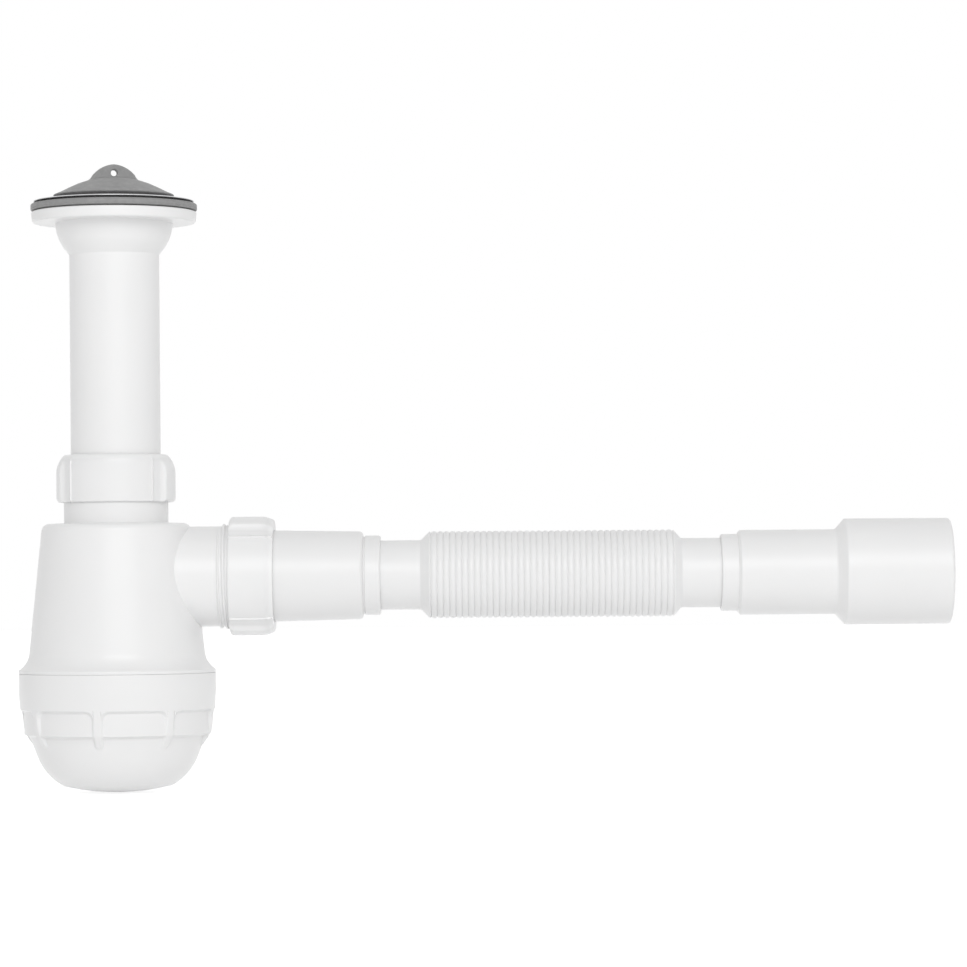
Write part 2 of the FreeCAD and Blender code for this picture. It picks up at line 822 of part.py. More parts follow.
def make_cup():
    """Bottom cup: threaded rim, scalloped grip with ribs, rounded bowl."""
    body = new_body("cup")
    recess_top = -s["recess_top"]
    recess_low = -s["recess_bottom"]
    rim = s["cup_radius"]
    foot = rim - s["cup_taper"]
    recess = foot - s["recess_depth"]
    bowl = recess - s["bowl_rim_step"]
    side = bowl - s["bowl_side_step"]
    depth = -s["cup_depth"]
    crown_radius = side - s["bowl_curve_width"]
    rise = s["bowl_crown_rise"]
    crown = (crown_radius * crown_radius + rise * rise) / (rise * 2)
    turned(body, "core", [
        (ZERO, depth, crown, RIGHT),
        (crown_radius, depth + rise, s["bowl_curve"], RIGHT),
        (side, -s["bowl_side_drop"]),
        (bowl, recess_low),
        (recess, recess_low + s["recess_foot_slope"]),
        (recess, recess_top),
        (foot + s["cup_draft"], recess_top),
        (rim, -s["cup_straight"]),
        (rim, ZERO),
        (ZERO, ZERO),
    ])
    half = s["rib_width"] / 2
    flare = s["rib_flare"]
    tip = -s["rib_tip_drop"]
    sketch = new_sketch(body, "rib_outline", "XZ_Plane")
    draw_outline(sketch, [
        (-half - flare, recess_top + OVERRUN),
        (-half - flare, recess_top, flare, LEFT),
        (-half, recess_top - flare),
        (-half, tip + half, half, RIGHT),
        (ZERO, tip, half, RIGHT),
        (half, tip + half),
        (half, recess_top - flare, flare, LEFT),
        (half + flare, recess_top),
        (half + flare, recess_top + OVERRUN),
    ])
    rib = prism(body, "rib", sketch, rim + OVERRUN)
    around(body, "ribs", rib, s["rib_count"])
    far = rim + OVERRUN * 3
    turned(body, "rib_shaping", [
        (rim, -s["cup_straight"]),
        (foot + s["cup_draft"], recess_top),
        (foot, recess_low + s["recess_foot_slope"]),
        (foot - s["rib_nose_inset"], recess_low - s["rib_nose_drop"], s["rib_nose"], RIGHT),
        (bowl - s["rib_tip_inset"], tip),
        (bowl - s["rib_tip_inset"], tip - OVERRUN),
        (far, tip - OVERRUN),
        (far, -s["cup_straight"]),
    ], cut=True)
    ledge = -cup_ledge()
    wall = s["cup_wall"]
    bore = rim - s["cup_rim_wall"]
    inside = skirt_radius() - s["cup_gasket_width"] + s["ledge_setback"]
    turned(body, "inside_bowl", [
        (ZERO, depth + wall, crown, RIGHT),
        (crown_radius, depth + rise + wall, s["bowl_curve"] - wall, RIGHT),
        (side - wall, -s["bowl_side_drop"]),
        (inside - s["bowl_ledge_taper"], recess_low),
        (inside, recess_low + s["bowl_ledge_slope"]),
        (inside, ledge),
        (bore, ledge),
        (bore, OVERRUN),
        (ZERO, OVERRUN),
    ], cut=True)
    return body


def make_inlet_cuff():
    """Tube that pushes into the bottle's outlet, with a socket and collar for the hose."""
    body = new_body("inlet_cuff")
    near = s["cuff_radius"]
    far = s["cuff_far_radius"]
    start = s["cuff_start"]
    end = s["cuff_end"]
    edge = s["cuff_end_round"]
    collar = s["cuff_collar_radius"]
    collar_end = end + s["collar_gap"] + s["cuff_collar_length"]
    socket = s["hose_radius"] + s["socket_gap"]
    socket_start = collar_end - s["socket_depth"]
    straight = s["side_nut_start"] + s["nut_height"] + s["cuff_straight_past_nut"]
    bore = far - s["cuff_wall"]
    chamfer = s["cuff_start_chamfer"]
    tip = s["collar_end_chamfer"]
    turned(body, "tube", [
        (start, bore),
        (start, near - chamfer),
        (start + chamfer, near),
        (straight, near),
        (end - edge, far, edge, LEFT),
        (end, far - edge),
        (end + s["collar_gap"] / 2, collar - s["collar_edge"]),
        (end + s["collar_gap"], collar),
        (collar_end - tip, collar),
        (collar_end, collar - tip),
        (collar_end, socket),
        (socket_start, socket),
        (socket_start, socket - s["hose_wall"]),
        (socket_start - s["socket_step"], socket - s["hose_wall"]),
        (socket_start - s["socket_step"] * 2, bore),
    ], axis="H_Axis")
    return body


def hose_start():
    """Where the hose's plain end stops inside the inlet cuff."""
    collar_end = s["cuff_end"] + s["collar_gap"] + s["cuff_collar_length"]
    return collar_end - s["socket_depth"] + s["hose_end_gap"]


def bellows_start():
    collar_end = s["cuff_end"] + s["collar_gap"] + s["cuff_collar_length"]
    return collar_end + s["hose_neck"] + s["bellows_cone"]


def bellows_end():
    return bellows_start() + s["bellows_pitch"] * s["bellows_count"]


def far_collar_start():
    return bellows_end() + s["bellows_cone"] + s["far_neck"]


def make_corrugated_hose():
    """Thin-walled hose: plain ends, a cone at each end and a close row of convolutions."""
    body = new_body("corrugated_hose")
    first = bellows_start()
    last = bellows_end()
    tube = s["hose_radius"]
    wall = s["hose_wall"]
    root = s["bellows_root"]
    root_inside = root - s["bellows_root_wall"]
    crest = s["bellows_crest"]
    crest_inside = s["bellows_crest_inside"]
    pitch = s["bellows_pitch"]
    slope = s["bellows_shoulder"]
    cone = s["bellows_cone"]
    inner_cone = cone - s["bellows_cone_shift"]
    turned(body, "near_end", [
        (hose_start(), tube - wall),
        (hose_start(), tube),
        (first - cone, tube),
        (first - slope, crest),
        (first - slope / 2, crest),
        (first, root),
        (first, root_inside),
        (first - inner_cone, tube - wall),
    ], axis="H_Axis")
    ring = turned(body, "convolution", [
        (first, root),
        (first + pitch / 2, crest),
        (first + pitch, root),
        (first + pitch, root_inside),
        (first + pitch / 2, crest_inside),
        (first, root_inside),
    ], axis="H_Axis")
    row = body.newObject("PartDesign::LinearPattern", "convolutions")
    row.Originals = [ring]
    row.Direction = (origin_feature(body, "X_Axis"), [""])
    row.setExpression("Length", (pitch * (s["bellows_count"] - 1)).formula)
    row.setExpression("Occurrences", s["bellows_count"].formula)
    body.Tip = row
    far_stop = far_collar_start() + s["socket_depth"] - s["hose_end_gap"]
    turned(body, "far_end", [
        (last, root_inside),
        (last, root),
        (last + slope / 2, crest),
        (last + slope, crest),
        (last + cone, tube),
        (far_stop, tube),
        (far_stop, tube - wall),
        (last + inner_cone, tube - wall),
    ], axis="H_Axis")
    return body


def make_outlet_cuff():
    """Far end of the hose: collar, smaller spigot and larger sleeve in one stepped moulding."""
    body = new_body("outlet_cuff")
    start = far_collar_start()
    collar = s["far_collar_radius"]
    step = start + s["far_collar_length"]
    spigot = s["spigot_radius"]
    spigot_end = step + s["spigot_length"]
    sleeve_start = spigot_end + s["sleeve_step"]
    sleeve_end = sleeve_start + s["sleeve_length"]
    sleeve = s["sleeve_radius"]
    edge = s["sleeve_round"]
    socket = s["hose_radius"] + s["socket_gap"]
    socket_end = start + s["socket_depth"]
    bore = spigot - s["spigot_wall"]
    sleeve_bore = sleeve - s["sleeve_wall"]
    turned(body, "tube", [
        (start, socket),
        (start, collar - s["collar_edge"]),
        (start + s["collar_edge"], collar),
        (step, collar),
        (step, spigot - s["spigot_round"]),
        (step + s["spigot_round"], spigot),
        (spigot_end, spigot),
        (sleeve_start, sleeve),
        (sleeve_end - edge, sleeve, edge, LEFT),
        (sleeve_end, sleeve - edge),
        (sleeve_end, sleeve_bore),
        (sleeve_start + s["sleeve_step_shift"], sleeve_bore),
        (spigot_end + s["sleeve_step_shift"], bore),
        (socket_end + s["socket_step"] * 2, bore),
        (socket_end + s["socket_step"], socket - s["hose_wall"]),
        (socket_end, socket - s["hose_wall"]),
        (socket_end, socket),
    ], axis="H_Axis")
    return body


def build_parts():
    """Make every piece at its place in the part's frame."""
    pieces = [
        make_flange_gasket(),
        make_strainer(),
        make_strainer_screw(),
        make_insert_nut(),
        make_rubber_plug(),
        make_tail_pipe(),
    ]
    for piece in (make_bottle_body(), make_dip_tube()):
        stand_at(piece, -s["outlet_drop"])
        pieces.append(piece)
    nut_height = top_nut_level() - s["outlet_drop"]
    for piece in (
        make_nut("top_nut", s["pipe_radius"], s["top_nut_turn"]),
        make_slip_washer("top_slip_washer", s["pipe_radius"]),
        make_cone_seal("top_cone_seal", s["pipe_radius"]),
    ):
        stand_at(piece, nut_height)
        pieces.append(piece)
    for piece in (
        make_nut("side_nut", s["cuff_radius"], s["side_nut_turn"]),
        make_slip_washer("side_slip_washer", s["cuff_radius"]),
        make_cone_seal("side_cone_seal", s["cuff_radius"]),
    ):
        lie_along_outlet(piece, s["side_nut_start"])
        pieces.append(piece)
    rim = -s["outlet_drop"] - s["parting_drop"] - s["cup_gap"]
    cup = make_cup()
    cup.Placement = FreeCAD.Placement(
        FreeCAD.Vector(0, 0, 0), FreeCAD.Rotation(FreeCAD.Vector(0, 0, 1), s["cup_turn"].value))
    for piece in (make_cup_gasket(), cup):
        stand_at(piece, rim)
        pieces.append(piece)
    for piece in (make_inlet_cuff(), make_corrugated_hose(), make_outlet_cuff()):
        stand_at(piece, -s["outlet_drop"])
        pieces.append(piece)
    return pieces


def check(pieces):
    """Stop if any object failed or any piece is not one valid solid."""
    faults = []
    for item in doc.Objects:
        if "Invalid" in item.State or "Error" in item.State:
            faults.append(f"{item.Name} ({item.Label}): {item.State}")
    for piece in pieces:
        shape = piece.Shape
        if shape.isNull() or not shape.isValid() or len(shape.Solids) != 1:
            faults.append(f"{piece.Label}: not one valid solid")
    if faults:
        raise RuntimeError("\n".join(faults))


pieces = build_parts()
doc.recompute()
check(pieces)
os.makedirs("parts", exist_ok=True)
for piece in pieces:
    piece.Shape.exportStep(f"parts/{piece.Label}.step")
    print(f"{piece.Label}: {piece.Shape.Volume / 1000:.2f} cm3, {len(piece.Shape.Faces)} faces")
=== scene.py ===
"""Looks of the kitchen sink trap: moulded white plastic, grey rubber and steel on a white ground."""
import json
import math

import bmesh
import bpy
from mathutils import Matrix, Vector


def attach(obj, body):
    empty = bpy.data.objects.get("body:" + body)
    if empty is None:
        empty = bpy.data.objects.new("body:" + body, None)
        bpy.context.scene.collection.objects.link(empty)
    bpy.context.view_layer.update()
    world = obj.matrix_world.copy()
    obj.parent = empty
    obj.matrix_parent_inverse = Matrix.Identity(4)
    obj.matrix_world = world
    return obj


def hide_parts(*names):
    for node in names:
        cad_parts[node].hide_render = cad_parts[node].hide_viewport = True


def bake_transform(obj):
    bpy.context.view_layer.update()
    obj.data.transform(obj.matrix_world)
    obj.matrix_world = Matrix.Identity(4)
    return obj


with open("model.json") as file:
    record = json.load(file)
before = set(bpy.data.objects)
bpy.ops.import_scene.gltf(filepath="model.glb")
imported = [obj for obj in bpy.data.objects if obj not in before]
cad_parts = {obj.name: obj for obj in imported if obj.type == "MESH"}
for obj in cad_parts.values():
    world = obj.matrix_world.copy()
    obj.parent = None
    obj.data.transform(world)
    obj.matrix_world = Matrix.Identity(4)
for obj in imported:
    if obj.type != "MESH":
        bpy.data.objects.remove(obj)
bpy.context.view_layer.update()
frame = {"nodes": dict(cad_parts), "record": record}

MM = 0.001
# An arc bulges to the left or to the right of the way it runs
LEFT = 1
RIGHT = -1
FULL_TURN = math.tau
UP = Vector((0, 0, 1))
ALONG = Vector((1, 0, 0))
OUTLET_LEVEL = -0.1752
CUP_LEVEL = -0.2208
FLOOR_LEVEL = -0.2766
ROUND_STEPS = 144


# Finishes

def new_finish(name):
    """A material of that name, with its node tree and its Principled shader."""
    material = bpy.data.materials.new(name)
    material.use_nodes = True
    tree = material.node_tree
    shader = next(node for node in tree.nodes if node.type == "BSDF_PRINCIPLED")
    return material, tree, shader


def add_node(tree, kind, **settings):
    """A node of that kind, its inputs and properties set by name."""
    node = tree.nodes.new(kind)
    for name, value in settings.items():
        if name in node.inputs:
            node.inputs[name].default_value = value
        else:
            setattr(node, name, value)
    return node


def add_noise(tree, scale, detail=3.0, roughness=0.5, stretch=(1, 1, 1)):
    """Noise over the piece, its scale in patches per metre."""
    place = add_node(tree, "ShaderNodeTexCoord")
    mapping = add_node(tree, "ShaderNodeMapping")
    mapping.inputs["Scale"].default_value = stretch
    tree.links.new(place.outputs["Object"], mapping.inputs["Vector"])
    noise = add_node(tree, "ShaderNodeTexNoise")
    noise.inputs["Scale"].default_value = scale
    noise.inputs["Detail"].default_value = detail
    noise.inputs["Roughness"].default_value = roughness
    tree.links.new(mapping.outputs["Vector"], noise.inputs["Vector"])
    return noise.outputs["Fac"]


def spread(tree, source, low, high):
    """Map the middle half of a noise to a range."""
    limits = add_node(tree, "ShaderNodeMapRange")
    limits.inputs["From Min"].default_value = 0.3
    limits.inputs["From Max"].default_value = 0.7
    limits.inputs["To Min"].default_value = low
    limits.inputs["To Max"].default_value = high
    tree.links.new(source, limits.inputs["Value"])
    return limits.outputs["Result"]


def tone(tree, source, dark, light):
    """Blend two colours by a noise."""
    ramp = add_node(tree, "ShaderNodeValToRGB")
    ramp.color_ramp.elements[0].position = 0.3
    ramp.color_ramp.elements[0].color = (*dark, 1)
    ramp.color_ramp.elements[1].position = 0.7
    ramp.color_ramp.elements[1].color = (*light, 1)
    tree.links.new(source, ramp.inputs["Fac"])
    return ramp.outputs["Color"]


def raise_by(tree, source, height, strength, below=None):
    """Bump of the given height in metres, on top of another one."""
    bump = add_node(tree, "ShaderNodeBump")
    bump.inputs["Strength"].default_value = strength
    bump.inputs["Distance"].default_value = height
    tree.links.new(source, bump.inputs["Height"])
    if below is not None:
        tree.links.new(below, bump.inputs["Normal"])
    return bump.outputs["Normal"]


def moulded_plastic(name, dark, light, sheen_low, sheen_high, grain):
    """Injection moulded plastic: slow tone changes, faint sink marks, fine mould grain."""
    material, tree, shader = new_finish(name)
    patches = add_noise(tree, 26.0, 2.0)
    tree.links.new(tone(tree, patches, dark, light), shader.inputs["Base Color"])
    streaks = add_noise(tree, 140.0, 4.0)
    tree.links.new(spread(tree, streaks, sheen_low, sheen_high), shader.inputs["Roughness"])
    waves = raise_by(tree, add_noise(tree, 45.0, 1.0), 0.0002, 0.03)
    fine = raise_by(tree, add_noise(tree, 900.0, 2.0, 0.5), 0.00001, grain, waves)
    tree.links.new(fine, shader.inputs["Normal"])
    shader.inputs["IOR"].default_value = 1.49
    shader.inputs["Subsurface Weight"].default_value = 0.12
    shader.inputs["Subsurface Radius"].default_value = (1.0, 0.95, 0.9)
    shader.inputs["Subsurface Scale"].default_value = 0.0015
    return material


def soft_rubber(name, dark, light):
    """Moulded grey rubber: mottled, matt, with a powdery grain and faint flow lines."""
    material, tree, shader = new_finish(name)
    mottle = add_noise(tree, 420.0, 5.0, 0.65)
    tree.links.new(tone(tree, mottle, dark, light), shader.inputs["Base Color"])
    tree.links.new(spread(tree, add_noise(tree, 160.0, 3.0), 0.48, 0.66), shader.inputs["Roughness"])
    flow = raise_by(tree, add_noise(tree, 120.0, 2.0, 0.5, (1, 1, 6)), 0.0002, 0.12)
    grain = raise_by(tree, add_noise(tree, 2600.0, 3.0, 0.7), 0.00004, 0.35, flow)
    tree.links.new(grain, shader.inputs["Normal"])
    shader.inputs["IOR"].default_value = 1.52
    shader.inputs["Sheen Weight"].default_value = 0.06
    return material


def turned_metal(name, dark, light, rough_low, rough_high, ring_scale):
    """Metal with the fine rings that polishing and turning leave round the upright axis."""
    material, tree, shader = new_finish(name)
    tree.links.new(tone(tree, add_noise(tree, 90.0, 4.0), dark, light), shader.inputs["Base Color"])
    place = add_node(tree, "ShaderNodeTexCoord")
    rings = add_node(tree, "ShaderNodeTexWave", wave_type="RINGS", rings_direction="Z")
    rings.inputs["Scale"].default_value = ring_scale
    rings.inputs["Distortion"].default_value = 1.5
    rings.inputs["Detail"].default_value = 3.0
    tree.links.new(place.outputs["Object"], rings.inputs["Vector"])
    tree.links.new(spread(tree, rings.outputs["Fac"], rough_low, rough_high), shader.inputs["Roughness"])
    tree.links.new(raise_by(tree, rings.outputs["Fac"], 0.00002, 0.25), shader.inputs["Normal"])
    shader.inputs["Metallic"].default_value = 1.0
    return material


WHITE = moulded_plastic("white_moulded_plastic", (0.835, 0.835, 0.835), (0.85, 0.85, 0.85),
                        0.285, 0.33, 0.06)
HOSE_WHITE = moulded_plastic("white_hose_plastic", (0.82, 0.82, 0.82), (0.84, 0.84, 0.84),
                             0.31, 0.36, 0.08)
RUBBER = soft_rubber("grey_rubber", (0.24, 0.24, 0.24), (0.30, 0.30, 0.30))
STEEL = turned_metal("stainless_steel", (0.58, 0.58, 0.59), (0.70, 0.70, 0.71), 0.16, 0.28, 900.0)
BRASS = turned_metal("turned_brass", (0.66, 0.46, 0.20), (0.80, 0.58, 0.28), 0.22, 0.34, 700.0)

FINISHES = {
    "white_plastic": WHITE,
    "hose_plastic": HOSE_WHITE,
    "grey_rubber": RUBBER,
    "stainless_steel": STEEL,
    "brass": BRASS,
}


# Shapes: outlines in millimetres, swept round the pipe's or the outlet's axis

def draw_outline(bm, corners, level, closed=True, arc_step=7.5):
    """A wire in the XZ plane. A corner is (a, b), or (a, b, radius, side) before an arc."""
    first = None
    last = None
    arc_end = None
    for index, corner in enumerate(corners):
        place = Vector((corner[0] * MM, 0, corner[1] * MM + level))
        if arc_end is None:
            vert = bm.verts.new(place)
            if last is not None:
                bm.edges.new((last, vert))
        else:
            vert = arc_end
            vert.co = place
            arc_end = None
        first = first or vert
        last = vert
        if len(corner) > 2:
            goal = corners[(index + 1) % len(corners)]
            end = Vector((goal[0] * MM, 0, goal[1] * MM + level))
            radius = corner[2] * MM
            chord = end - place
            half = chord.length / 2
            reach = math.sqrt(max(radius * radius - half * half, 0.0))
            across = Vector((-chord.z, 0, chord.x)).normalized()
            centre = (place + end) / 2 - across * reach * corner[3]
            angle = 2 * math.asin(min(half / radius, 1.0)) * corner[3]
            steps = max(3, round(abs(angle) / math.radians(arc_step)))
            swept = bmesh.ops.spin(bm, geom=[vert], cent=centre, axis=(0, 1, 0), angle=angle,
                                   steps=steps)
            arc_end = next(item for item in swept["geom_last"]
                           if isinstance(item, bmesh.types.BMVert))
            last = arc_end
    if closed:
        bm.edges.new((last, first))


def soften(bm, size, segments=3):
    """Round the outline's sharp corners, whose edges turn by more than 20 degrees."""
    sharp = []
    for vert in bm.verts:
        if len(vert.link_edges) == 2:
            ends = [edge.other_vert(vert).co - vert.co for edge in vert.link_edges]
            on_axis = math.hypot(vert.co.x, vert.co.y) < 1e-7
            if math.pi - ends[0].angle(ends[1]) > math.radians(20) and not on_axis:
                sharp.append(vert)
    bmesh.ops.bevel(bm, geom=sharp, offset=size * MM, offset_type="OFFSET", affect="VERTICES",
                    segments=segments, profile=0.5, material=-1, clamp_overlap=True)


def turned(corners, level=0.0, axis=UP, soft=0.3, steps=ROUND_STEPS, arc_step=7.5):
    """A closed body of revolution round the pipe's axis (UP) or the outlet's (ALONG)."""
    bm = bmesh.new()
    centre = Vector((0, 0, level))
    from_axis = 0 if axis is UP else 1
    ends_on_axis = corners[0][from_axis] == 0 and corners[-1][from_axis] == 0
    draw_outline(bm, corners, level, not ends_on_axis, arc_step)
    if soft:
        soften(bm, soft)
    bmesh.ops.spin(bm, geom=bm.verts[:] + bm.edges[:], cent=centre, axis=axis,
                   angle=FULL_TURN, steps=steps, use_merge=True)
    bmesh.ops.remove_doubles(bm, verts=bm.verts[:], dist=1e-6)
    bmesh.ops.recalc_face_normals(bm, faces=bm.faces[:])
    return bm


def placed(name, bm):
    """The bmesh as a plain object at the origin."""
    mesh = bpy.data.meshes.new(name)
    bm.to_mesh(mesh)
    bm.free()
    thing = bpy.data.objects.new(name, mesh)
    bpy.context.scene.collection.objects.link(thing)
    return thing


def joined(bm, other, operation):
    """The first form with the other added, cut out of it or kept in common."""
    base = placed("base_form", bm)
    tool = placed("tool_form", other)
    change = base.modifiers.new("change", "BOOLEAN")
    change.object = tool
    change.operation = operation
    change.solver = "EXACT"
    bpy.context.view_layer.update()
    result = bmesh.new()
    result.from_object(base, bpy.context.evaluated_depsgraph_get())
    for thing in (base, tool):
        bpy.data.meshes.remove(thing.data)
    bmesh.ops.remove_doubles(result, verts=result.verts[:], dist=1e-6)
    return result


def add_piece(name, bm, slot, body=None, replaces=(), sharp=32.0):
    """Finish a form as a piece: smooth shading up to the sharp edges, finish, body."""
    limit = math.radians(sharp)
    for face in bm.faces:
        face.smooth = True
    for edge in bm.edges:
        edge.smooth = len(edge.link_faces) == 2 and edge.calc_face_angle() < limit
    piece = placed(name, bm)
    piece.data.materials.append(FINISHES[slot])
    even = piece.modifiers.new("even_shading", "WEIGHTED_NORMAL")
    even.keep_sharp = True
    if body:
        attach(piece, body)
    if replaces:
        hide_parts(*replaces)
    return piece


# The nodes inside keep their own shape and get the real finish

for node_name, node in frame["nodes"].items():
    node_slot = next(row["material_slot"] for row in frame["record"]["subparts"]
                     if row["node"] == node_name)
    for holder in node.material_slots:
        holder.material = FINISHES[node_slot]


# Helpers of the white mouldings

def smooth_most(first, second, width):
    """The larger of two radii, with a rounded change from one to the other."""
    return (first + second + math.sqrt((first - second) ** 2 + width * width)) / 2


def smooth_least(first, second, width):
    """The smaller of two radii, with a rounded change from one to the other."""
    return (first + second - math.sqrt((first - second) ** 2 + width * width)) / 2


def smooth_out(bm, verts, rounds):
    """Even out some vertices, a number of times over."""
    for _ in range(rounds):
        bmesh.ops.smooth_vert(bm, verts=verts, factor=0.5, use_axis_x=True, use_axis_y=True,
                              use_axis_z=True)


def drill(radius, depth, place, segments):
    """An upright cylinder that cuts a hole, its sizes in millimetres."""
    bm = bmesh.new()
    bmesh.ops.create_cone(bm, cap_ends=True, segments=segments, radius1=radius * MM,
                          radius2=radius * MM, depth=depth * MM)
    bmesh.ops.translate(bm, verts=bm.verts[:], vec=place)
    return bm


def along(outline, height):
    """Radius at a height of an outline of (radius, height) rows, listed from the top down."""
    for upper, lower in zip(outline, outline[1:]):
        if upper[1] >= height >= lower[1] and upper[1] > lower[1]:
            share = (upper[1] - height) / (upper[1] - lower[1])
            return upper[0] + (lower[0] - upper[0]) * share
    return outline[0][0] if height > outline[0][1] else outline[-1][0]


def thread(name, body, sizes, level, axis=UP):
    """A screw thread's ridge, wound round the axis and thinned out at both ends."""
    root, crest, pitch, turns, start = sizes
    steps_per_turn = 60
    thinnest, growth = 0.15, 1.6
    sunk = root - 0.5
    bm = bmesh.new()
    shape = [(sunk, 0.44), (root + 0.1, 0.34), ((root + crest) / 2, 0.24), (crest - 0.08, 0.13),
             (crest, 0.04)]
    corners = [(radius, start - pitch * share) for radius, share in shape]
    corners += [(radius, start + pitch * share) for radius, share in reversed(shape)]
    if axis is ALONG:
        corners = [(place, radius) for radius, place in corners]
    draw_outline(bm, corners, level)
    face = bm.faces.new(bm.verts[:])
    steps = round(steps_per_turn * turns)
    bmesh.ops.spin(bm, geom=[face], cent=(0, 0, level), axis=axis, angle=FULL_TURN * turns,
                   steps=steps, dvec=axis * (pitch * MM / steps_per_turn), use_merge=False)
    bmesh.ops.holes_fill(bm, edges=[edge for edge in bm.edges if edge.is_boundary])
    length = pitch * turns
    for vert in bm.verts:
        out = vert.co - Vector((0, 0, level))
        height = out.dot(axis)
        out -= axis * height
        share = (height / MM - start) / length
        fade = min(1.0, thinnest + min(share, 1 - share) * turns * growth)
        radius = sunk + (out.length / MM - sunk) * max(fade, thinnest)
        vert.co = Vector((0, 0, level)) + axis * height + out.normalized() * radius * MM
    bmesh.ops.recalc_face_normals(bm, faces=bm.faces[:])
    return add_piece(name, bm, "white_plastic", body, sharp=50.0)


# Waste: plug, strainer, gasket and tail pipe

def make_plug():
    """Rubber stopper: domed cone with a lip, a tapered skirt, and an ear with a chain hole."""
    ear_thickness, ear_turn = 4.0, 13.0
    hole_radius, hole_level = 1.55, 15.1
    plug = turned([(0, 4.6), (19.6, 3.6), (20.6, -2.8), (23.4, -2.8), (24.4, 0.0), (24.4, 3.5),
                   (28.0, 4.1), (28.55, 4.4), (28.4, 4.8), (25.3, 6.05), (21.5, 7.95), (17.0, 10.0),
                   (12.0, 11.7), (7.0, 12.6), (0, 12.9)], soft=0)
    ear = bmesh.new()
    draw_outline(ear, [(-14.2, 9.0), (-11.7, 11.3, 14.0, LEFT), (0, 19.3, 14.0, LEFT), (11.7, 11.3),
                       (14.2, 9.0)], 0.0)
    outline = ear.faces.new(ear.verts[:])
    bmesh.ops.translate(ear, verts=ear.verts[:], vec=(0, -ear_thickness / 2 * MM, 0))
    pulled = bmesh.ops.extrude_face_region(ear, geom=[outline])
    moved = [item for item in pulled["geom"] if isinstance(item, bmesh.types.BMVert)]
    bmesh.ops.translate(ear, verts=moved, vec=(0, ear_thickness * MM, 0))
    bmesh.ops.recalc_face_normals(ear, faces=ear.faces[:])
    hole = drill(hole_radius, depth=12, place=(0, 0, 0), segments=40)
    bmesh.ops.rotate(hole, verts=hole.verts[:], matrix=Matrix.Rotation(math.radians(90), 3, "X"))
    bmesh.ops.translate(hole, verts=hole.verts[:], vec=(0, 0, hole_level * MM))
    ear = joined(ear, hole, "DIFFERENCE")
    bmesh.ops.rotate(ear, verts=ear.verts[:], matrix=Matrix.Rotation(math.radians(ear_turn), 3, "Z"))
    plug = joined(plug, ear, "UNION")
    whole = placed("plug_form", plug)
    skin = whole.modifiers.new("skin", "REMESH")
    skin.mode = "VOXEL"
    skin.voxel_size = 0.36 * MM
    bpy.context.view_layer.update()
    bm = bmesh.new()
    bm.from_object(whole, bpy.context.evaluated_depsgraph_get())
    bpy.data.meshes.remove(whole.data)
    smooth_out(bm, bm.verts[:], 4)
    near_ear = [vert for vert in bm.verts
                if 9.0 * MM < vert.co.z < 14.0 * MM and vert.co.xy.length < 16.0 * MM]
    smooth_out(bm, near_ear, 30)
    add_piece("stopper", bm, "grey_rubber", "sink_fitting", ["rubber_plug"], sharp=180.0)


def make_strainer():
    """Pressed steel dish with a rolled rim and eight drain holes."""
    hole_count, hole_radius, hole_ring = 8, 3.6, 14.5
    dish = turned([(3.3, -4.2), (3.3, -5.2), (23.4, -5.2), (28.4, -0.35), (29.4, 0.0), (34.0, 0.0),
                   (35.2, 1.2), (37.4, 1.3), (37.8, 1.55), (37.8, 1.75), (37.3, 2.0), (28.9, 1.2),
                   (27.9, 0.75), (23.0, -4.2)], soft=0.25)
    for count in range(hole_count):
        angle = FULL_TURN * count / hole_count
        place = (hole_ring * MM * math.cos(angle), hole_ring * MM * math.sin(angle), -4.7 * MM)
        hole = drill(hole_radius, depth=4, place=place, segments=48)
        dish = joined(dish, hole, "DIFFERENCE")
    add_piece("strainer_dish", dish, "stainless_steel", "sink_fitting", ["strainer"])


def make_gasket():
    """Rubber ring with two moulded sealing lines round its edge."""
    ring = turned([(31.0, -3.2), (36.8, -3.2), (37.2, -2.75), (38.7, -2.6), (39.0, -2.3),
                   (39.1, -1.95), (38.95, -1.75), (39.1, -1.55), (39.1, -0.45), (38.95, -0.25),
                   (39.05, -0.05), (38.7, 0.35), (37.6, 0.5), (35.6, 0.0), (31.0, 0.0)], soft=0)
    add_piece("sealing_ring", ring, "grey_rubber", "sink_fitting", ["flange_gasket"], sharp=60.0)


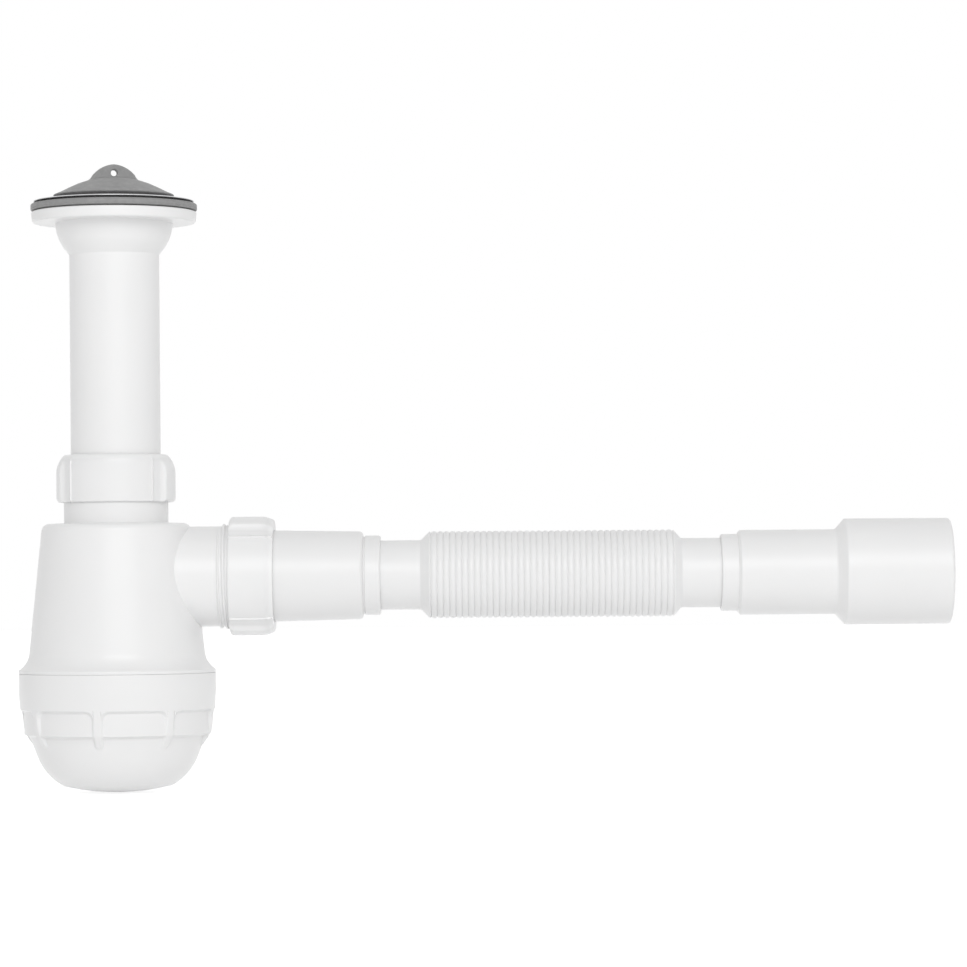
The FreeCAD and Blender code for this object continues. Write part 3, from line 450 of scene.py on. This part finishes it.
def make_tail_pipe():
    """Flange, bell and pipe, with the spider and hub that take the screw."""
    bar_length, bar_width, bar_height, bar_level = 40.4, 2.4, 8.0, -28.0
    pipe = turned([(19.2, -190.2), (20.5, -190.2), (21.1, -189.6), (21.1, -23.4),
                   (24.3, -19.2, 24.0, RIGHT), (27.6, -9.4), (27.6, -8.4), (37.5, -8.4, 1.4, RIGHT),
                   (38.55, -7.0), (38.85, -3.7), (38.4, -3.2), (29.4, -3.2), (25.7, -9.4),
                   (22.4, -19.2), (19.2, -23.4)], soft=0.35)
    for turn in (0, 90):
        bar = bmesh.new()
        bmesh.ops.create_cube(bar, size=1.0)
        bmesh.ops.scale(bar, verts=bar.verts[:], vec=(bar_length * MM, bar_width * MM, bar_height * MM))
        bmesh.ops.translate(bar, verts=bar.verts[:], vec=(0, 0, bar_level * MM))
        bmesh.ops.rotate(bar, verts=bar.verts[:], matrix=Matrix.Rotation(math.radians(turn), 3, "Z"))
        pipe = joined(pipe, bar, "UNION")
    hub = turned([(0, -33.0), (6.6, -33.0), (6.6, -19.0), (0, -19.0)], soft=0, steps=64)
    pipe = joined(pipe, hub, "UNION")
    bore = turned([(0, -35.0), (4.4, -35.0), (4.4, -17.0), (0, -17.0)], soft=0, steps=64)
    pipe = joined(pipe, bore, "DIFFERENCE")
    add_piece("waste_pipe", pipe, "white_plastic", "sink_fitting", ["tail_pipe"])


# Bottle with its outlet and threads

def make_bottle():
    """Neck, shoulder, conical wall, flared collar, skirt and outlet tube."""
    outside = turned([(0, -57.7), (42.2, -57.7), (42.4, -57.1), (42.4, -45.0), (46.1, -45.0),
                      (46.3, -44.85), (46.3, -43.7), (46.1, -43.35, 10.6, LEFT), (41.2, -35.3),
                      (35.2, 21.5, 3.8, RIGHT), (31.4, 25.3), (24.9, 25.3), (24.5, 25.7), (24.5, 36.0),
                      (23.8, 36.8), (23.8, 51.0), (23.5, 51.3), (0, 51.3)],
                     OUTLET_LEVEL, soft=0.25, steps=192)
    tube = turned([(10.0, 0), (10.0, 23.6), (51.8, 23.6), (52.4, 24.35), (66.0, 24.3), (69.2, 23.3),
                   (69.6, 22.9), (69.6, 0)], OUTLET_LEVEL, ALONG, soft=0, steps=180)
    body = joined(outside, tube, "UNION")
    chamber = turned([(0, -58.7), (39.9, -58.7), (39.9, -43.5), (38.9, -35.3),
                      (32.9, 18.9, 3.8, RIGHT), (29.1, 22.7), (0, 22.7)],
                     OUTLET_LEVEL, soft=0, steps=96)
    body = joined(body, chamber, "DIFFERENCE")
    neck_bore = turned([(0, 21.7), (21.5, 21.7), (21.5, 47.5), (23.1, 51.3), (23.1, 52.3), (0, 52.3)],
                       OUTLET_LEVEL, soft=0, steps=96)
    body = joined(body, neck_bore, "DIFFERENCE")
    outlet_bore = turned([(11.0, 0), (11.0, 21.8), (65.8, 21.8), (69.6, 22.7), (70.6, 22.7), (70.6, 0)],
                         OUTLET_LEVEL, ALONG, soft=0, steps=96)
    body = joined(body, outlet_bore, "DIFFERENCE")
    add_piece("bottle_shell", body, "white_plastic", "bottle", ["bottle_body"])
    # Radius of root and crest, pitch, number of turns and start of each thread
    thread("outlet_thread", "bottle", (23.6, 24.75, 3.0, 5.9, 47.8), OUTLET_LEVEL, ALONG)
    thread("neck_thread", "bottle", (23.8, 24.5, 3.0, 4.0, 37.2), OUTLET_LEVEL)
    thread("skirt_thread", "bottle", (42.4, 42.9, 3.0, 2.8, -55.6), OUTLET_LEVEL)


# Union nuts

PAD_RADIUS = 28.1
PAD_EDGE_ANGLE = 29.5
COVE_RADIUS = 7.0
COVE_FOOT_ANGLE = 43.5
COVE_FOOT_RADIUS = 25.6
# Farther out than any pad, for a ray that misses the cove
NO_COVE = 40.0
# Pads from the nut's open end to its shoulder: radius and depth
PAD_ENDS = [(26.6, -0.2), (27.2, -0.5), (27.8, -1.1), (28.1, -2.0), (28.1, -13.6), (28.02, -15.0),
            (27.75, -16.4), (27.3, -17.8), (26.75, -19.1), (26.0, -20.4), (25.2, -21.5), (24.4, -22.3),
            (23.6, -22.6)]


def ray_at(degrees):
    """Unit vector at an angle from the middle of a pad."""
    return Vector((math.cos(math.radians(degrees)), math.sin(math.radians(degrees))))


def pad_radius(angle):
    """Radius of the two coved grip pads, by the angle from the nearer pad's middle, in degrees."""
    edge = ray_at(PAD_EDGE_ANGLE) * PAD_RADIUS
    foot = ray_at(COVE_FOOT_ANGLE) * COVE_FOOT_RADIUS
    half = (foot - edge).length / 2
    outward = ((edge + foot) / 2).normalized()
    centre = (edge + foot) / 2 + outward * math.sqrt(COVE_RADIUS ** 2 - half * half)
    if angle > COVE_FOOT_ANGLE:
        return COVE_FOOT_RADIUS
    reach = ray_at(angle).dot(centre)
    rest = reach * reach - centre.length_squared + COVE_RADIUS ** 2
    cove = reach - math.sqrt(rest) if rest > 0 else NO_COVE
    return smooth_least(PAD_RADIUS, cove, width=0.3)


def make_nut(name, body, node, bore, turn, place, axis):
    """Union nut: drum with a rounded shoulder, two coved grip pads, an end wall."""
    drum = [(26.0, height) for height in (0.9, 1.5, 2.2, 3.0, 6.0, 9.0, 12.0, 13.8, 15.2, 16.4,
                                          17.6, 18.8)]
    outline = [(24.8, 0.9), (25.1, 0.35), (25.6, 0.25), (25.9, 0.5)] + drum
    outline += [(25.86, 19.8), (25.45, 20.75), (24.8, 21.55), (24.0, 22.15), (23.1, 22.5), (22.2, 22.6),
                (bore + 0.3, 22.6), (bore, 22.3), (bore, 20.2), (24.8, 20.2)]
    corners = outline if axis is UP else [(height, radius) for radius, height in outline]
    bm = turned(corners, 0.0, axis, soft=0, steps=480)
    pads_at, stretch = ALONG, 1.0
    if axis is ALONG:
        # The outlet's nut is shorter than the neck's
        shorter, low, high = 1.5, 9.0, 15.0
        for vert in bm.verts:
            height = vert.co.x / MM
            share = min(max((height - low) / (high - low), 0.0), 1.0)
            vert.co.x = (height - shorter * share) * MM
        pads_at, stretch = UP, 0.94
    # The pads stand on the drum's side and on its rounded shoulder, not on its inside
    side_radius, shoulder_height, shoulder_radius = 25.3, 18.0, 22.15
    for vert in bm.verts:
        height = vert.co.dot(axis) / MM
        out = vert.co - axis * vert.co.dot(axis)
        radius = out.length / MM
        if radius > side_radius or (height > shoulder_height and radius > shoulder_radius):
            angle = math.degrees(out.angle(pads_at))
            pad = smooth_least(pad_radius(min(angle, 180 - angle)),
                               along(PAD_ENDS, -height * stretch), width=0.25)
            grown = smooth_most(radius, pad, width=0.2)
            vert.co = axis * vert.co.dot(axis) + out.normalized() * grown * MM
    bmesh.ops.rotate(bm, verts=bm.verts[:], matrix=Matrix.Rotation(math.radians(turn), 3, axis))
    bmesh.ops.translate(bm, verts=bm.verts[:], vec=place)
    add_piece(name, bm, "white_plastic", body, [node])


# Cup

# Radius and height of the rim, of the recesses under it and of the ribs between them
CUP_SIDE = [(46.3, 0.5), (46.3, -8.0), (45.8, -16.6)]
CUP_CORE = CUP_SIDE + [(43.9, -16.61), (43.9, -27.9), (41.4, -29.1), (37.6, -39.0)]
CUP_RIBS = CUP_SIDE + [(45.3, -22.0), (44.9, -26.0), (44.4, -27.7), (43.5, -29.1), (42.4, -30.8),
                       (41.3, -32.4), (40.4, -33.7), (37.6, -39.0)]
CUP_TURN = -7.2
RIB_COUNT = 8
# Where the columns of faces stand beside a rib's middle, measured round a circle of 45 mm
RIB_STEPS_RADIUS = 45.0
RIB_STEPS = [0, 0.6, 1.1, 1.4, 1.65, 1.88, 2.1, 2.32, 2.54, 2.77, 3.0, 3.25, 3.5, 3.75, 4.0, 4.25,
             4.55, 4.9, 5.3, 5.9, 6.8, 8.2, 10.2, 12.8, 15.3, 17.671]
# Heights of the rows of faces from the rim down to the bowl
CUP_ROWS = [-10.0, -12.0, -13.6, -14.6, -15.2, -15.5, -15.72, -15.92, -16.1, -16.3, -16.5, -16.7,
            -16.9, -17.1, -17.3, -17.55, -17.8, -18.0, -18.3, -18.6, -18.9, -19.2, -19.5, -19.8,
            -20.8, -22.2, -23.8, -25.2, -26.5, -27.4, -27.9, -28.15, -28.4, -28.75, -29.1, -29.6,
            -30.1, -30.6, -31.1, -31.6, -32.0, -32.3, -32.6, -32.9, -33.1, -33.3, -33.5, -33.7,
            -33.9, -34.4, -35.8, -37.5]


def inside_material(across, height):
    """Depth inside the outline of the grip's rim and ribs, in millimetres, below zero in a recess."""
    top, half, flare, tip = -16.6, 1.95, 4.0, -33.7
    if height > top - flare and half < across < half + flare:
        return math.hypot(across - half - flare, height - top + flare) - flare
    if height > top - flare:
        return max(height - top, half - across)
    if height < tip + half:
        return half - math.hypot(across, height - tip - half)
    return half - across


def make_cup():
    """Screw-off cup: smooth rim, eight recesses between ribs with flared tops, rounded bowl."""
    band_top, recess_top, band_bottom, skin = -15.3, -16.62, -36.0, 1.2
    edge_shift, edge_width = 0.95, 1.5
    inside = [(0, -53.2, 108.0, RIGHT), (25.6, -50.2, 24.1, RIGHT), (35.3, -39.0), (39.5, -29.1),
              (40.7, -26.1), (40.7, -14.1), (43.3, -14.1), (43.3, 0.2)]
    rim = [(43.6, 0.57), (46.1, 0.57), (46.3, 0.4), (46.3, 0.0), (46.3, -4.0), (46.3, -8.0)]
    side = [(along(CUP_CORE, height), height) for height in CUP_ROWS]
    bowl = [(37.6, -39.0, 26.4, LEFT), (25.6, -52.5, 109.7, LEFT), (0, -55.5)]
    bm = turned(inside + rim + side + bowl, soft=0, steps=2 * RIB_COUNT * (len(RIB_STEPS) - 1),
                arc_step=3.0)
    sector = FULL_TURN / RIB_COUNT
    column = sector / 2 / (len(RIB_STEPS) - 1)
    for vert in bm.verts:
        height = vert.co.z / MM
        radius = math.hypot(vert.co.x, vert.co.y) / MM
        if radius < 0.01:
            continue
        angle = math.atan2(vert.co.y, vert.co.x)
        middle = round(angle / sector) * sector
        number = round((angle - middle) / column)
        across = RIB_STEPS[abs(number)]
        angle = middle + math.copysign(across / RIB_STEPS_RADIUS, number)
        if band_bottom < height < band_top and radius > along(CUP_CORE, height) - skin:
            share = min(max((inside_material(across, height) + edge_shift) / edge_width, 0.0), 1.0)
            share = share * share * (3 - 2 * share)
            core = along(CUP_CORE, min(height, recess_top))
            full = max(along(CUP_RIBS, height), core)
            radius = core + (full - core) * share
        vert.co = Vector((math.cos(angle) * radius, math.sin(angle) * radius, height)) * MM
    bmesh.ops.rotate(bm, verts=bm.verts[:], matrix=Matrix.Rotation(math.radians(CUP_TURN), 3, "Z"))
    bmesh.ops.translate(bm, verts=bm.verts[:], vec=(0, 0, CUP_LEVEL))
    bmesh.ops.recalc_face_normals(bm, faces=bm.faces[:])
    add_piece("ribbed_cup", bm, "white_plastic", "cup", ["cup"], sharp=60.0)


# Inlet cuff, corrugated hose and outlet cuff

def make_inlet_cuff():
    """Tube for the outlet, with a rounded end and a socket collar."""
    bm = turned([(40.0, 18.8), (40.0, 20.6), (40.8, 21.4), (77.9, 21.4), (114.2, 20.7, 2.0, LEFT),
                 (116.3, 18.8), (116.6, 18.1), (117.0, 18.1), (117.3, 18.7), (123.7, 18.7),
                 (124.4, 18.2), (124.4, 16.65), (96.4, 16.65), (96.4, 15.55), (94.4, 15.55),
                 (92.4, 18.8)], OUTLET_LEVEL, ALONG, soft=0.2, steps=180)
    add_piece("push_in_cuff", bm, "hose_plastic", "inlet_cuff", ["inlet_cuff"])


FOLD_PITCH = 2.91
FOLD_START = 148.2
FOLD_COUNT = 39
NEAR_COUNT = 19


def hose_fold(start):
    """Outer corners of one convolution: a rounded crest, then the foot of a narrow groove."""
    return [(start + 0.3, 20.1, 1.8, LEFT), (start + 2.61, 20.1), (start + FOLD_PITCH, 19.65)]


def hose_inside(start):
    """Inner corners of one convolution, from its far side back."""
    return [(start + 2.7, 18.3), (start + 2.2, 19.6), (start + 0.7, 19.6), (start + 0.2, 18.3)]


def make_hose():
    """Corrugated hose in two straight halves, lying between the cuffs that it joins."""
    folds = [FOLD_START + FOLD_PITCH * count for count in range(FOLD_COUNT)]
    middle = folds[NEAR_COUNT]
    near = [(96.7, 15.25), (96.7, 16.35), (142.9, 16.35), (143.6, 16.6), (147.2, 20.15),
            (147.6, 20.35), (147.95, 20.15), (FOLD_START, 19.65)]
    for start in folds[:NEAR_COUNT]:
        near += hose_fold(start)
    # A short tongue under the other half's first fold closes the joint between them
    near += [(middle + 0.4, 19.6), (middle + 0.4, 18.85), (middle, 18.3)]
    for start in reversed(folds[:NEAR_COUNT]):
        near += hose_inside(start)
    near += [(147.9, 18.3), (147.2, 19.0), (143.6, 15.25)]
    far = [(middle, 18.3), (middle, 19.65)]
    for start in folds[NEAR_COUNT:]:
        far += hose_fold(start)
    far += [(261.95, 20.0), (262.3, 20.1), (262.7, 19.8), (265.6, 16.6), (266.2, 16.35),
            (312.09, 16.35), (312.09, 15.25), (265.0, 15.25), (262.3, 18.9), (261.9, 18.3)]
    for start in reversed(folds[NEAR_COUNT:]):
        far += hose_inside(start)
    for name, corners in (("hose_near_half", near), ("hose_far_half", far)):
        bm = turned(corners, OUTLET_LEVEL, ALONG, soft=0, steps=120, arc_step=26.0)
        piece = add_piece(name, bm, "hose_plastic", None, ["corrugated_hose"], sharp=50.0)
        if name == "hose_near_half":
            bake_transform(piece)
        else:
            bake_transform(piece)


def make_outlet_cuff():
    """Collar, smaller spigot and larger sleeve in one stepped moulding."""
    bm = turned([(284.39, 16.65), (284.39, 17.5), (284.9, 18.1), (292.3, 18.1), (292.5, 18.3),
                 (292.5, 18.8), (293.6, 19.95), (337.6, 19.95, 2.2, RIGHT), (338.9, 20.6),
                 (342.2, 24.3, 1.4, LEFT), (343.4, 25.0), (390.89, 24.9, 1.6, LEFT), (392.49, 23.4),
                 (392.49, 23.1), (343.49, 23.1), (338.99, 18.05), (316.39, 18.05), (314.39, 15.55),
                 (312.39, 15.55), (312.39, 16.65)], OUTLET_LEVEL, ALONG, soft=0.25, steps=180)
    add_piece("drain_cuff", bm, "hose_plastic", "outlet_cuff", ["outlet_cuff"])


make_plug()
make_strainer()
make_gasket()
make_tail_pipe()
make_bottle()
make_nut("top_union_nut", "top_nut", "top_nut", bore=21.45, turn=-1.5,
         place=(0, 0, -0.1402), axis=UP)
make_nut("side_union_nut", "side_nut", "side_nut", bore=21.7, turn=2.5,
         place=(0.0533, 0, OUTLET_LEVEL), axis=ALONG)
make_cup()
make_inlet_cuff()
make_hose()
make_outlet_cuff()


# Camera, light and ground

def aim(thing, target):
    """Turn a camera or lamp towards a point."""
    direction = Vector(target) - thing.location
    thing.rotation_euler = direction.to_track_quat("-Z", "Y").to_euler()


def add_camera():
    """A long lens level with the outlet and rolled by half a degree, as in the photograph."""
    data = bpy.data.cameras.new("camera")
    data.sensor_width = 36.0
    data.lens = 151.7
    data.shift_y = 0.0957
    data.clip_end = 20.0
    camera = bpy.data.objects.new("camera", data)
    bpy.context.scene.collection.objects.link(camera)
    camera.location = (0.1728, -1.92, -0.1760)
    camera.rotation_euler = (math.radians(90), math.radians(0.45), 0)
    bpy.context.scene.camera = camera


def add_lamp(name, place, target, width, height, power, mirrored=True):
    """A rectangular soft box, which glossy surfaces may mirror."""
    data = bpy.data.lights.new(name, "AREA")
    data.shape = "RECTANGLE"
    data.size = width
    data.size_y = height
    data.energy = power
    lamp = bpy.data.objects.new(name, data)
    bpy.context.scene.collection.objects.link(lamp)
    lamp.location = place
    lamp.visible_glossy = mirrored
    aim(lamp, target)


def white_ground_mix(tree, lit, seen):
    """Show one shader to the lamps' light and the other to the camera, gloss and glass."""
    path = add_node(tree, "ShaderNodeLightPath")
    either = add_node(tree, "ShaderNodeMath", operation="MAXIMUM")
    tree.links.new(path.outputs["Is Camera Ray"], either.inputs[0])
    tree.links.new(path.outputs["Is Glossy Ray"], either.inputs[1])
    every = add_node(tree, "ShaderNodeMath", operation="MAXIMUM")
    tree.links.new(either.outputs[0], every.inputs[0])
    tree.links.new(path.outputs["Is Transmission Ray"], every.inputs[1])
    mix = add_node(tree, "ShaderNodeMixShader")
    tree.links.new(every.outputs[0], mix.inputs["Fac"])
    tree.links.new(lit, mix.inputs[1])
    tree.links.new(seen, mix.inputs[2])
    return mix.outputs["Shader"]


def add_world():
    """A white surround that lights the object softly from every side."""
    world = bpy.data.worlds.new("white_surround")
    world.use_nodes = True
    bpy.context.scene.world = world
    tree = world.node_tree
    tree.nodes.clear()
    lit = add_node(tree, "ShaderNodeBackground")
    lit.inputs["Color"].default_value = (1, 1, 1, 1)
    lit.inputs["Strength"].default_value = 0.585
    seen = add_node(tree, "ShaderNodeBackground")
    seen.inputs["Color"].default_value = (1, 1, 1, 1)
    seen.inputs["Strength"].default_value = 1.0
    output = add_node(tree, "ShaderNodeOutputWorld")
    mixed = white_ground_mix(tree, lit.outputs["Background"], seen.outputs["Background"])
    tree.links.new(mixed, output.inputs["Surface"])


def add_floor():
    """A plain pale floor under the cup, which keeps the object's shadow."""
    bm = bmesh.new()
    bmesh.ops.create_grid(bm, x_segments=1, y_segments=1, size=6.0)
    bmesh.ops.translate(bm, verts=bm.verts[:], vec=(0.17, 0, FLOOR_LEVEL))
    floor = placed("floor", bm)
    material, tree, shader = new_finish("pale_floor")
    dust = tone(tree, add_noise(tree, 3.0, 2.0), (0.86, 0.86, 0.86), (0.88, 0.88, 0.88))
    tree.links.new(dust, shader.inputs["Base Color"])
    shader.inputs["Roughness"].default_value = 0.9
    sides = []
    glow_as_lit, glow_as_seen = 0.14, 0.66
    for strength in (glow_as_lit, glow_as_seen):
        glow = add_node(tree, "ShaderNodeEmission")
        glow.inputs["Color"].default_value = (1, 1, 1, 1)
        glow.inputs["Strength"].default_value = strength
        both = add_node(tree, "ShaderNodeAddShader")
        tree.links.new(shader.outputs["BSDF"], both.inputs[0])
        tree.links.new(glow.outputs["Emission"], both.inputs[1])
        sides.append(both.outputs["Shader"])
    output = next(node for node in tree.nodes if node.type == "OUTPUT_MATERIAL")
    mixed = white_ground_mix(tree, *sides)
    tree.links.new(mixed, output.inputs["Surface"])
    floor.data.materials.append(material)


add_camera()
add_world()
add_floor()
LIT_PLACE = (0.12, 0, -0.16)
add_lamp("front_box", (0.35, -1.8, 0.71), LIT_PLACE, 1.5, 0.9, 12.0)
add_lamp("low_fill", (0.3, -2.4, -0.1), LIT_PLACE, 2.4, 1.6, 9.0, mirrored=False)

bpy.context.scene.view_settings.view_transform = "Standard"
